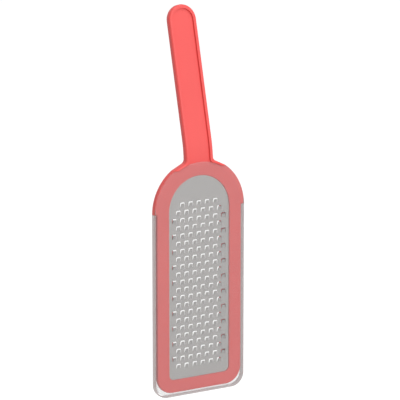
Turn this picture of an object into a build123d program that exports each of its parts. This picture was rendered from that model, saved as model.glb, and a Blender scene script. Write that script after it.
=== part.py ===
from build123d import *
import os
from math import cos, hypot, radians, sin, tan

# A hand-held rasp zester: a moulded handle and ring that hold a punched steel
# sheet, and a clear sheath that slides over the ring from its lower end.
# X runs across, Y from front to back and Z up, along the head to the handle.
# The head is drawn about the centre of its arch, on the ring's front face, and
# every piece is then set so that the middle of the grip is the origin.

# Driving sizes in millimetres

# window that shows the rasp sheet
window_width = 50.0
window_straight = 125.0
window_corner = 4.0

# ring round the window
side_rim = 10.0
bottom_rim = 9.6
frame_corner = 12.5
frame_thickness = 3.0
frame_edge = 0.8
front_ring = 0.8
window_edge = 0.6

# rasp sheet
blade_thickness = 0.5
blade_lap = 5.0
blade_clearance = 0.2
tooth_pitch_x = 6.82
tooth_pitch_z = 5.72
tooth_end_margin = 9.0
teeth_in_long_row = 7
first_row_z = 6.1
tooth_margin = 4.2
tooth_rise = 0.6
tongue_tip_width = 2.1
tongue_root_width = 3.0
slit_width = 3.8
slit_corner = 0.9
slit_top = 0.5
slit_bottom = 3.0
slit_gap = 0.75

# rear frame and the stakes that hold it
rear_clearance = 0.15
rear_reach = 1.2
rear_wall = 0.75
rear_lip = 5.3
rear_lip_thickness = 1.5
stake_diameter = 2.0
stake_head_diameter = 3.2
stake_head_height = 0.6
stake_gap = 0.1
side_stakes = 4
side_stake_top = 8.0
side_stake_margin = 13.0
arch_stakes = 3
bottom_stake_reach = 15.0

# clear sheath
cover_plate = 1.0
cover_wall = 1.6
cover_back = 1.2
cover_lip = 4.0
cover_side_gap = 0.7
cover_face_gap = 0.3
cover_end_gap = 1.3
cover_shoulder_gap = 0.3
cover_corner = 10.3
cover_rim_edge = 0.3

# rounded outer edges that the body and the sheath share
front_edge = 1.6
back_edge = 1.5

# handle
handle_width = 22.6
handle_length = 108.0
handle_thickness = 5.1
handle_rim = 2.8
handle_lean = 14.7
bend_height = 41.0
bend_radius = 85.0
back_bend_radius = 60.0
shoulder_reach = 21.5
shoulder_round = 6.0
shoulder_fillet = 3.5
channel_fillet = 3.0
grip_height = 54.0

# overrun that every cut runs past a face, and how near a picked corner lies
overrun = 10.0
pick_reach = 0.05

# Sizes worked out from the driving sizes

window_half = window_width / 2
frame_half = window_half + side_rim
frame_drop = window_straight + bottom_rim
blade_half = window_half + blade_lap
blade_drop = window_straight + blade_lap
blade_front = front_ring
blade_back = blade_front + blade_thickness
pocket_half = blade_half + blade_clearance
pocket_drop = blade_drop + blade_clearance
cover_half = frame_half + cover_side_gap + cover_wall
cover_drop = frame_drop + cover_end_gap + cover_wall
cover_plate_back = -cover_face_gap
cover_front = cover_plate_back - cover_plate
lip_height = -cover_front
cover_channel_back = frame_thickness + cover_face_gap
head_back = cover_channel_back + cover_back
head_depth = head_back - cover_front
rear_back = head_back + rear_reach
lip_inner = frame_half + cover_face_gap
shoulder_height = (cover_half**2 - shoulder_reach**2) ** 0.5
lean = radians(handle_lean)
handle_half = handle_width / 2
channel_half = handle_half - handle_rim
handle_lap = handle_length / 2
tongue_length = slit_top + slit_bottom - slit_gap
tooth_rows = 1 + int((first_row_z + window_straight - tooth_end_margin) / tooth_pitch_z)


def slab(outline, front, back):
    """The outline, drawn in X and Z, filled from depth front to depth back."""
    return Pos(0, back, 0) * extrude(Plane.XZ * outline, amount=back - front)


def arched(half_width, drop, corner):
    """A half-round arch on a straight body with two rounded lower corners."""
    body = Circle(half_width) + Pos(0, -drop / 2) * Rectangle(2 * half_width, drop)
    return fillet(body.vertices().sort_by(Axis.Y)[:2], corner)


def outer_edges(faces, floor):
    """Edges that only one of the faces has, without those down at the floor."""
    edges = faces.edges()
    single = [e for e in edges if sum(e.is_same(other) for other in edges) == 1]
    return [e for e in single if e.center().Z > floor]


# Handle and ring, moulded in one

def lean_point(along, depth):
    """Y and Z of a point on the leaning handle, by its way up and its depth."""
    y = cover_front + along * sin(lean) + depth * cos(lean)
    z = bend_height + along * cos(lean) - depth * sin(lean)
    return y, z


def bend_corner(depth):
    """Y and Z where the upright plane and the leaning plane at this depth meet."""
    return cover_front + depth, bend_height - depth * tan(lean / 2)


def side_view(points, corners):
    """A side view in Y and Z, wider than the head, with its corners rounded."""
    face = make_face(Polyline(*points, close=True))
    for place, radius in corners:
        face = fillet(face.vertices().sort_by_distance(place)[:1], radius)
    return extrude(Plane.YZ * face, amount=cover_half + overrun, both=True)


def body_side_view():
    """The side view of the upper body: head depth below, handle thickness above."""
    back_rise = (head_depth - handle_thickness * cos(lean)) / sin(lean)
    back_corner = lean_point(back_rise, handle_thickness)
    front_corner = bend_corner(0)
    points = [
        (cover_front, 0),
        front_corner,
        lean_point(handle_lap, 0),
        lean_point(handle_lap, handle_thickness),
        back_corner,
        (head_back, 0),
    ]
    corners = [(front_corner, bend_radius), (back_corner, back_bend_radius)]
    return side_view(points, corners)


def channel_side_view():
    """The side view of the space in front of the channel floor."""
    floor_corner = bend_corner(lip_height)
    points = [
        (-overrun, 0),
        (0, 0),
        floor_corner,
        lean_point(handle_lap, lip_height),
        lean_point(handle_lap, -overrun),
        (-overrun, bend_height),
    ]
    return side_view(points, [(floor_corner, bend_radius - lip_height)])


def corners_at(outline, reach, height):
    """The left and right corners of a front outline at this reach and height."""
    return outline.vertices().filter_by(
        lambda v: abs(abs(v.X) - reach) < pick_reach and abs(v.Y - height) < pick_reach
    )


def shoulder_outline():
    """The arch, its straight shoulders and the lower handle, from the front."""
    root_z = (cover_half**2 - handle_half**2) ** 0.5
    top_z = bend_height + handle_lap
    arch = CenterArc((0, 0), cover_half, 0, 180)
    disc = make_face([arch, Line(arch @ 1, arch @ 0)])
    trim = Polyline(
        (shoulder_reach, shoulder_height),
        (handle_half, root_z),
        (handle_half, cover_half),
        (shoulder_reach, cover_half),
        close=True,
    )
    right_trim = make_face(trim)
    handle = Pos(0, top_z / 2) * Rectangle(handle_width, top_z)
    outline = disc - right_trim - mirror(right_trim, Plane.YZ) + handle
    outline = fillet(corners_at(outline, handle_half, root_z), shoulder_fillet)
    return fillet(corners_at(outline, shoulder_reach, shoulder_height), shoulder_round)


def channel_outline():
    """The floor between and below the shoulders, from the front, and the lower channel."""
    root_z = (lip_inner**2 - channel_half**2) ** 0.5
    top_z = bend_height + handle_lap
    arch = CenterArc((0, 0), lip_inner, 0, 180)
    disc = make_face([arch, Line(arch @ 1, arch @ 0)])
    channel = Pos(0, top_z / 2) * Rectangle(2 * channel_half, top_z)
    outline = disc + channel
    outline = fillet(corners_at(outline, channel_half, root_z), channel_fillet)
    width = 2 * (cover_half + overrun)
    return outline + Pos(0, shoulder_height / 2) * Rectangle(width, shoulder_height)


def handle_end(half_width, thickness):
    """The upper handle, or its channel, as a round-ended bar on the leaning plane."""
    plane = Plane(
        origin=(0, cover_front, bend_height),
        x_dir=(1, 0, 0),
        z_dir=(0, -cos(lean), sin(lean)),
    )
    start = handle_lap / 2
    centre = handle_length - handle_half
    bar = Pos(0, (start + centre) / 2) * Rectangle(2 * half_width, centre - start)
    bar += Pos(0, centre) * Circle(half_width)
    return extrude(plane * bar, amount=-thickness)


def stake_places():
    """X and Z of the stakes, along the middle of the lap under the window's rim."""
    middle = window_half + blade_lap / 2
    step = (window_straight - side_stake_margin - side_stake_top) / (side_stakes - 1)
    places = []
    for i in range(side_stakes):
        z = -(side_stake_top + i * step)
        places += [(-middle, z), (middle, z)]
    for i in range(arch_stakes):
        turn = radians(180 * (i + 1) / (arch_stakes + 1))
        places.append((middle * cos(turn), middle * sin(turn)))
    low = -(window_straight + blade_lap / 2)
    places += [(-bottom_stake_reach, low), (bottom_stake_reach, low)]
    return places


def discs(diameter, front, back):
    """One short cylinder at each stake, from depth front to depth back."""
    return [
        slab(Pos(x, z) * Circle(diameter / 2), front, back) for x, z in stake_places()
    ]


def window_rim(body):
    """Edges of the window on the ring's front face."""

    def on_rim(edge):
        box = edge.bounding_box()
        flat = max(abs(box.min.Y), abs(box.max.Y)) < pick_reach
        across = max(abs(box.min.X), abs(box.max.X), box.max.Z)
        return flat and across < window_half + pick_reach

    return body.edges().filter_by(on_rim)


def handle_frame():
    """Handle, shoulders and ring in one moulding, with stakes behind the window's rim."""
    upper = slab(shoulder_outline(), -overrun, head_back + handle_length) & body_side_view()
    body = upper + handle_end(handle_half, handle_thickness)
    fronts = body.faces().filter_by(lambda f: f.normal_at().Y < -cos(2 * lean))
    body = fillet(outer_edges(fronts, pick_reach), front_edge)
    backs = body.faces().filter_by(lambda f: f.normal_at().Y > cos(2 * lean))
    body = fillet(outer_edges(backs, pick_reach), back_edge)
    channel = slab(channel_outline(), -overrun, handle_length) & channel_side_view()
    body -= channel
    body -= handle_end(channel_half, lip_height)
    ring = slab(arched(frame_half, frame_drop, frame_corner), 0, frame_thickness)
    ring_faces = ring.faces().filter_by(Axis.Y)
    ring = fillet(outer_edges(ring_faces, -frame_drop - overrun), frame_edge)
    body += ring
    body -= slab(arched(window_half, window_straight, window_corner), -overrun, head_back + overrun)
    body = fillet(window_rim(body), window_edge)
    pocket = arched(pocket_half, pocket_drop, window_corner + blade_lap + blade_clearance)
    body -= slab(pocket, blade_front, head_back + overrun)
    body += discs(stake_diameter, blade_front, frame_thickness)
    body += discs(stake_head_diameter, frame_thickness - stake_head_height, frame_thickness)
    return body


# Rasp sheet

def tooth_places():
    """X and Z of every tooth: long and short rows in turn, clear of the window's arch."""
    places = []
    for row in range(tooth_rows):
        count = teeth_in_long_row - row % 2
        z = first_row_z - row * tooth_pitch_z
        for i in range(count):
            x = (i - (count - 1) / 2) * tooth_pitch_x
            reach = hypot(x, max(z, 0))
            if window_half - reach >= tooth_margin:
                places.append((x, z))
    return places


def tongue():
    """A cutting tongue on a sheet whose front lies at Y = 0: it widens to its root and leans out."""
    root = -slit_bottom
    tip = root + tongue_length
    outline = Polyline(
        (-tongue_root_width / 2, root),
        (-tongue_tip_width / 2, tip),
        (tongue_tip_width / 2, tip),
        (tongue_root_width / 2, root),
        close=True,
    )
    side = Polyline(
        (0, root),
        (-tooth_rise, tip),
        (blade_thickness - tooth_rise, tip),
        (blade_thickness, root),
        close=True,
    )
    leaning = extrude(Plane.YZ * make_face(side), amount=slit_width, both=True)
    return slab(make_face(outline), -tooth_rise, blade_thickness) & leaning


def slit():
    """What the punch opens round a tongue, with its upper corners rounded."""
    height = slit_top + slit_bottom
    outline = Pos(0, slit_top - height / 2) * Rectangle(slit_width, height)
    outline = fillet(outline.vertices().sort_by(Axis.Y)[-2:], slit_corner)
    return slab(outline, -blade_thickness, 2 * blade_thickness)


def rasp_blade():
    """The steel sheet with its slit-and-tongue teeth and a hole for each stake."""
    sheet = slab(arched(blade_half, blade_drop, window_corner + blade_lap), blade_front, blade_back)
    tongues = [Pos(x, blade_front, z) * tongue() for x, z in tooth_places()]
    slits = [Pos(x, blade_front, z) * slit() for x, z in tooth_places()]
    holes = discs(stake_diameter + 2 * blade_clearance, blade_front - overrun, blade_back + overrun)
    sheet -= slits + holes
    return sheet + tongues


# Rear frame

def rear_frame():
    """The ring that clamps the sheet from behind, with a lip that stands in towards the middle."""
    half_width = pocket_half - rear_clearance
    drop = pocket_drop - rear_clearance
    corner = window_corner + blade_lap + blade_clearance - rear_clearance
    ring = slab(arched(half_width, drop, corner), blade_back, frame_thickness)
    wall = arched(window_half + rear_wall, window_straight + rear_wall, window_corner + rear_wall)
    ring += slab(wall, blade_back, rear_back)
    window = arched(window_half, window_straight, window_corner)
    ring -= slab(window, blade_front, rear_back - rear_lip_thickness)
    inner = arched(window_half - rear_lip, window_straight - rear_lip, window_corner)
    ring -= slab(inner, blade_front, rear_back + overrun)
    seat = stake_head_height + stake_gap
    ring -= discs(stake_diameter + 2 * stake_gap, blade_front, head_back)
    ring -= discs(stake_head_diameter + 2 * stake_gap, frame_thickness - seat, head_back)
    return ring


# Sliding sheath

def slide_cover():
    """Clear sheath: front plate, side and end walls, and lips behind the ring."""
    shell = slab(arched(cover_half, cover_drop, cover_corner), cover_front, head_back)
    shell = fillet(shell.faces().sort_by(Axis.Y)[:1].edges(), front_edge)
    shell = fillet(shell.faces().sort_by(Axis.Y)[-1:].edges(), back_edge)
    width = 2 * (cover_half + overrun)
    upper = Pos(0, cover_half / 2 - cover_face_gap) * Rectangle(width, cover_half)
    shell -= slab(upper, cover_plate_back, head_back + overrun)
    room_half = cover_half - cover_wall
    room_drop = cover_drop - cover_wall
    room = Pos(0, (overrun - room_drop) / 2) * Rectangle(2 * room_half, room_drop + overrun)
    room = fillet(room.vertices().sort_by(Axis.Y)[:2], cover_corner - cover_wall)
    shell -= slab(room, cover_plate_back, cover_channel_back)
    mouth_half = frame_half - cover_lip
    mouth_drop = frame_drop - cover_lip
    mouth = Pos(0, (overrun - mouth_drop) / 2) * Rectangle(2 * mouth_half, mouth_drop + overrun)
    mouth = fillet(mouth.vertices().sort_by(Axis.Y)[:2], frame_corner - cover_lip)
    shell -= slab(mouth, frame_thickness, head_back + overrun)
    ledge = shoulder_height - cover_shoulder_gap
    shoulders = Pos(0, ledge + cover_half / 2) * Rectangle(width, cover_half) - Circle(frame_half)
    shell -= slab(shoulders, cover_front - overrun, cover_plate_back + overrun)
    crest = shell.edges().filter_by(GeomType.CIRCLE)
    crest = crest.filter_by(lambda e: abs(e.radius - frame_half) < pick_reach)
    return fillet(crest.sort_by(Axis.Y)[:1], cover_rim_edge)


def main():
    """Every piece, moved so that the middle of the grip is the origin."""
    grip_y, grip_z = lean_point(grip_height, handle_thickness / 2)
    pieces = {
        "handle_frame": handle_frame(),
        "rasp_blade": rasp_blade(),
        "rear_frame": rear_frame(),
        "slide_cover": slide_cover(),
    }
    os.makedirs("parts", exist_ok=True)
    for name, piece in pieces.items():
        export_step(Pos(0, -grip_y, -grip_z) * piece, f"parts/{name}.step")
    travel = frame_half + frame_drop
    print(f"grip point in the head's frame: Y {grip_y:.3f}, Z {grip_z:.3f}")
    print(f"sheath travel to clear the ring: {travel:.1f}")
    print(f"teeth: {len(tooth_places())}")


main()
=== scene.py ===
import bpy
import numpy as np
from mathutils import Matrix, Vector


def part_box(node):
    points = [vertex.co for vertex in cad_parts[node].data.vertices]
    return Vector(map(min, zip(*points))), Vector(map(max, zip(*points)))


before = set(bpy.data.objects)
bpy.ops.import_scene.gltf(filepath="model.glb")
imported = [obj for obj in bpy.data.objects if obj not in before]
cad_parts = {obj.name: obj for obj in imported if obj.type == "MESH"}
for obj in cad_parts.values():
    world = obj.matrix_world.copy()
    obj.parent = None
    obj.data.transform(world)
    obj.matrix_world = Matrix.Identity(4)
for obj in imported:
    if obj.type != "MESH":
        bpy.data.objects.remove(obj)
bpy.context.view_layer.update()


# Handle and ring

# One injection moulding in coral polypropylene: handle, neck, arch and ring. The mould's
# front half is satin, and the part leaves it with a fine even grain and no seam in front.
# Its tone drifts a little with the flow of the plastic, and the grain breaks up the gloss.

coral_base = "#E7514E"
coral_flow = "#E04A47"
coral_flow_size = 0.030
coral_flow_detail = 2.0
coral_grain_size = 0.0007
coral_grain_detail = 3.0
coral_grain_depth = 0.000005
coral_roughness = 0.42
coral_gloss_drift = 0.05


def linear(hex_code):
    """Red, green, blue and alpha of an sRGB hex colour, each channel turned to linear light."""
    channels = [int(hex_code[i : i + 2], 16) / 255 for i in (1, 3, 5)]
    return [c / 12.92 if c <= 0.04045 else ((c + 0.055) / 1.055) ** 2.4 for c in channels] + [1.0]


def add_node(material, kind, settings=None, **inputs):
    """Add a node; settings are its own options, inputs are constants or the sockets that feed it."""
    node = material.node_tree.nodes.new(kind)
    for name, value in (settings or {}).items():
        setattr(node, name, value)
    for name, value in inputs.items():
        socket = node.inputs[name.replace("_", " ")]
        if isinstance(value, bpy.types.NodeSocket):
            material.node_tree.links.new(value, socket)
        else:
            socket.default_value = value
    return node


def new_material(name):
    """An empty node material and its output node."""
    material = bpy.data.materials.new(name)
    material.use_nodes = True
    material.node_tree.nodes.clear()
    return material, add_node(material, "ShaderNodeOutputMaterial")


def finish_with(material, output, shader):
    """Join a shader to the material's surface."""
    material.node_tree.links.new(shader.outputs[0], output.inputs["Surface"])


def dress(node_name, material):
    """Give a CAD node one material, on its own slots."""
    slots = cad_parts[node_name].data.materials
    slots.clear()
    slots.append(material)


def between(material, factor, low_hex, high_hex):
    """The socket of a colour that runs from one hex tone to another with the factor."""
    mix = add_node(material, "ShaderNodeMix", {"data_type": "RGBA"}, Factor=factor)
    low, high = [socket for socket in mix.inputs if socket.type == "RGBA"]
    low.default_value = linear(low_hex)
    high.default_value = linear(high_hex)
    return next(socket for socket in mix.outputs if socket.type == "RGBA")


def moulded_coral(name, roughness):
    """Satin moulded polypropylene: slow drift of tone, and a fine grain in gloss and surface."""
    material, output = new_material(name)
    place = add_node(material, "ShaderNodeTexCoord").outputs["Object"]
    flow = add_node(
        material,
        "ShaderNodeTexNoise",
        Vector=place,
        Scale=1 / coral_flow_size,
        Detail=coral_flow_detail,
    )
    tone = between(material, flow.outputs[0], coral_base, coral_flow)
    grain = add_node(
        material,
        "ShaderNodeTexNoise",
        Vector=place,
        Scale=1 / coral_grain_size,
        Detail=coral_grain_detail,
    )
    gloss = add_node(
        material,
        "ShaderNodeMapRange",
        Value=grain.outputs[0],
        To_Min=roughness - coral_gloss_drift,
        To_Max=roughness + coral_gloss_drift,
    )
    bump = add_node(
        material, "ShaderNodeBump", Height=grain.outputs[0], Distance=coral_grain_depth
    )
    shader = add_node(
        material,
        "ShaderNodeBsdfPrincipled",
        Base_Color=tone,
        Roughness=gloss.outputs[0],
        Normal=bump.outputs[0],
    )
    finish_with(material, output, shader)
    return material


dress("handle_frame", moulded_coral("satin_moulded_coral", coral_roughness))


# Rasp sheet

# Cold-rolled stainless steel, about half a millimetre thick, with a slit punched round
# each tongue, which leans out. Rolling leaves fine streaks, so the sheet shines softly.

steel_tone = "#A7A5A3"
steel_streak = "#9D9A98"
streak_width = 0.0005
streak_stretch = 0.04
streak_unit = 1.0
streak_detail = 4.0
steel_smoothest = 0.30
steel_roughest = 0.42


def rolled_steel():
    """Rolled stainless steel: streaks along Z in tone and gloss, and soft broad reflections."""
    material, output = new_material("rolled_stainless_steel")
    place = add_node(material, "ShaderNodeTexCoord").outputs["Object"]
    along = add_node(
        material,
        "ShaderNodeMapping",
        Vector=place,
        Scale=(1 / streak_width, 1 / streak_width, streak_stretch / streak_width),
    )
    streak = add_node(
        material, "ShaderNodeTexNoise", Vector=along.outputs[0], Scale=streak_unit, Detail=streak_detail
    )
    tone = between(material, streak.outputs[0], steel_tone, steel_streak)
    gloss = add_node(
        material,
        "ShaderNodeMapRange",
        Value=streak.outputs[0],
        To_Min=steel_smoothest,
        To_Max=steel_roughest,
    )
    shader = add_node(
        material,
        "ShaderNodeBsdfPrincipled",
        Base_Color=tone,
        Metallic=1.0,
        Roughness=gloss.outputs[0],
    )
    finish_with(material, output, shader)
    return material


dress("rasp_blade", rolled_steel())


# Rear ring

# A second coral moulding behind the sheet, held by heads formed on the first one's stakes.
# It is the same plastic from a plainer mould, so its surface is a little flatter.

rear_roughness = 0.50

dress("rear_frame", moulded_coral("flat_moulded_coral", rear_roughness))


# Sheath

# A thin clear tray moulded in styrene plastic that slides over the ring. It is slightly
# milky, and its outline looks denser, because there one looks along the wall.
# Along its sides and lower end a fixed band is made denser and painted a darker pink-grey: painted
# shade and painted reflection of the coral, as the wall shows them seen edge-on.

sheath_tone = "#C3C3C3"
# Darker pink-grey of the outer band: painted shade and painted reflection of the coral, not the
# plastic's own colour.
sheath_band_painted_shade = "#A88E8B"
sheath_face_veil = 0.12
sheath_edge_veil = 0.70
sheath_band_veil = 0.75
sheath_band = 0.0007
sheath_band_blur = 0.0003
sheath_corner = 0.0103
sheath_rim_start = 0.4
sheath_haze_size = 0.020
sheath_haze_detail = 2.0
sheath_smoothest = 0.12
sheath_roughest = 0.20


def calculate(material, operation, *values):
    """The result socket of a math node that takes numbers and sockets in order."""
    node = add_node(material, "ShaderNodeMath", {"operation": operation})
    for socket, value in zip(node.inputs, values):
        if isinstance(value, bpy.types.NodeSocket):
            material.node_tree.links.new(value, socket)
        else:
            socket.default_value = value
    return node.outputs[0]


def thick_band_with_painted_shade(material, place):
    """One in a narrow band along the sheath's sides and lower end, where the veil thickens and painted
    shade and painted coral reflection are laid in, and zero inside it.
    """
    low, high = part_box("slide_cover")
    axes = add_node(material, "ShaderNodeSeparateXYZ", Vector=place)
    aside = calculate(material, "ABSOLUTE", axes.outputs["X"])
    past_side = calculate(material, "SUBTRACT", aside, high[0] - sheath_corner)
    past_end = calculate(material, "SUBTRACT", low[2] + sheath_corner, axes.outputs["Z"])
    past = add_node(
        material,
        "ShaderNodeCombineXYZ",
        X=calculate(material, "MAXIMUM", past_side, 0.0),
        Z=calculate(material, "MAXIMUM", past_end, 0.0),
    )
    reach = add_node(material, "ShaderNodeVectorMath", {"operation": "LENGTH"}, Vector=past.outputs[0])
    zone = add_node(
        material,
        "ShaderNodeMapRange",
        Value=reach.outputs["Value"],
        From_Min=sheath_corner - sheath_band,
        From_Max=sheath_corner - sheath_band + sheath_band_blur,
    )
    return zone.outputs[0]


def clear_styrene():
    """Slightly milky clear plastic: a thin veil face on that thickens at a grazing look, and a denser
    band at its outline painted in darker pink-grey as painted shade and painted reflection of the
    coral.
    """
    material, output = new_material("milky_clear_styrene")
    place = add_node(material, "ShaderNodeTexCoord").outputs["Object"]
    rim = add_node(material, "ShaderNodeLayerWeight")
    veil = add_node(
        material,
        "ShaderNodeMapRange",
        Value=rim.outputs["Facing"],
        From_Min=sheath_rim_start,
        To_Min=sheath_face_veil,
        To_Max=sheath_edge_veil,
    )
    in_painted_shade_band = thick_band_with_painted_shade(material, place)
    dense = add_node(material, "ShaderNodeMapRange", Value=in_painted_shade_band, To_Max=sheath_band_veil)
    thickest = calculate(material, "MAXIMUM", veil.outputs[0], dense.outputs[0])
    haze = add_node(
        material,
        "ShaderNodeTexNoise",
        Vector=place,
        Scale=1 / sheath_haze_size,
        Detail=sheath_haze_detail,
    )
    gloss = add_node(
        material,
        "ShaderNodeMapRange",
        Value=haze.outputs[0],
        To_Min=sheath_smoothest,
        To_Max=sheath_roughest,
    )
    shader = add_node(
        material,
        "ShaderNodeBsdfPrincipled",
        # In the outer band the colour turns to a painted shade with painted coral reflection.
        Base_Color=between(material, in_painted_shade_band, sheath_tone, sheath_band_painted_shade),
        Roughness=gloss.outputs[0],
        Alpha=thickest,
    )
    finish_with(material, output, shader)
    return material


dress("slide_cover", clear_styrene())


# Floor

# A plain pale studio floor, far enough below that the sheath has room to slide off.
# The camera sees it as white, and the object's shadow still falls on it.

floor_height = -0.46
floor_half = 6.0
floor_tone = "#C8C8C8"
plain_white = "#FFFFFF"
floor_glow = 0.62
floor_roughness = 0.9


def seen_directly(material):
    """One for camera, glossy and transmitted rays, and zero for the rays that light things."""
    path = add_node(material, "ShaderNodeLightPath")
    total = path.outputs["Is Camera Ray"]
    for ray in ("Is Glossy Ray", "Is Transmission Ray"):
        total = calculate(material, "MAXIMUM", total, path.outputs[ray])
    return total


def pale_floor():
    """Matt pale paint that also glows a little to whoever looks at it."""
    material, output = new_material("matt_pale_paint")
    glow = calculate(material, "MULTIPLY", seen_directly(material), floor_glow)
    shader = add_node(
        material,
        "ShaderNodeBsdfPrincipled",
        Base_Color=linear(floor_tone),
        Roughness=floor_roughness,
        Emission_Color=linear(plain_white),
        Emission_Strength=glow,
    )
    finish_with(material, output, shader)
    return material


corners = np.array([(-1, -1), (1, -1), (1, 1), (-1, 1)]) * floor_half
floor_points = np.column_stack([corners, np.full(len(corners), floor_height)])
floor_mesh = bpy.data.meshes.new("studio_floor")
floor_mesh.from_pydata(floor_points.tolist(), [], [(0, 1, 2, 3)])
floor_mesh.materials.append(pale_floor())
floor = bpy.data.objects.new("studio_floor", floor_mesh)
bpy.context.scene.collection.objects.link(floor)


# Light

# A pale even sky, white to the eye and in reflections, a broad lamp overhead and a broad
# softer one straight in front, which leaves the side faces a little darker.

sky_level = 0.62
overhead_power = 8.5
overhead_size = 0.9
overhead_place = Vector((0.25, -0.60, 1.25))
front_power = 15.0
front_size = 1.2
front_place = Vector((0.25, -1.90, 0.35))


def aimed(obj, place, target):
    """Put an object at a place and turn its -Z axis to the target."""
    obj.location = place
    obj.rotation_mode = "QUATERNION"
    obj.rotation_quaternion = (target - place).to_track_quat("-Z", "Y")


world = bpy.data.worlds.new("studio_sky")
world.use_nodes = True
world.node_tree.nodes.clear()
sky_output = add_node(world, "ShaderNodeOutputWorld")
sky_strength = add_node(world, "ShaderNodeMapRange", Value=seen_directly(world), To_Min=sky_level)
sky = add_node(
    world, "ShaderNodeBackground", Color=linear(plain_white), Strength=sky_strength.outputs[0]
)
finish_with(world, sky_output, sky)
bpy.context.scene.world = world


def soft_lamp(name, power, size, place, target):
    """A square area lamp at a place, turned to the target."""
    light = bpy.data.lights.new(name, "AREA")
    light.energy = power
    light.size = size
    lamp = bpy.data.objects.new(name, light)
    bpy.context.scene.collection.objects.link(lamp)
    aimed(lamp, place, target)


head_middle = (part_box("rasp_blade")[0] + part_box("rasp_blade")[1]) / 2
soft_lamp("overhead_lamp", overhead_power, overhead_size, overhead_place, head_middle)
soft_lamp("front_lamp", front_power, front_size, front_place, head_middle)


# Camera

# The view that was fitted to the photo: its focal length in the photo's own pixels,
# its direction round and above the object, and the point it looks at.

photo_width = 400
photo_focal = 2712
sensor_width = 36.0
view_azimuth = np.radians(-30.418)
view_elevation = np.radians(13.615)
view_distance = 1.94719
view_target = Vector((0.000350, -0.014869, -0.085685))

back = Vector(
    (
        np.sin(view_azimuth) * np.cos(view_elevation),
        -np.cos(view_azimuth) * np.cos(view_elevation),
        np.sin(view_elevation),
    )
)
lens = bpy.data.cameras.new("photo_camera")
lens.sensor_width = sensor_width
lens.lens = sensor_width * photo_focal / photo_width
camera = bpy.data.objects.new("photo_camera", lens)
bpy.context.scene.collection.objects.link(camera)
aimed(camera, view_target + back * view_distance, view_target)
bpy.context.scene.camera = camera
bpy.context.scene.view_settings.view_transform = "Standard"
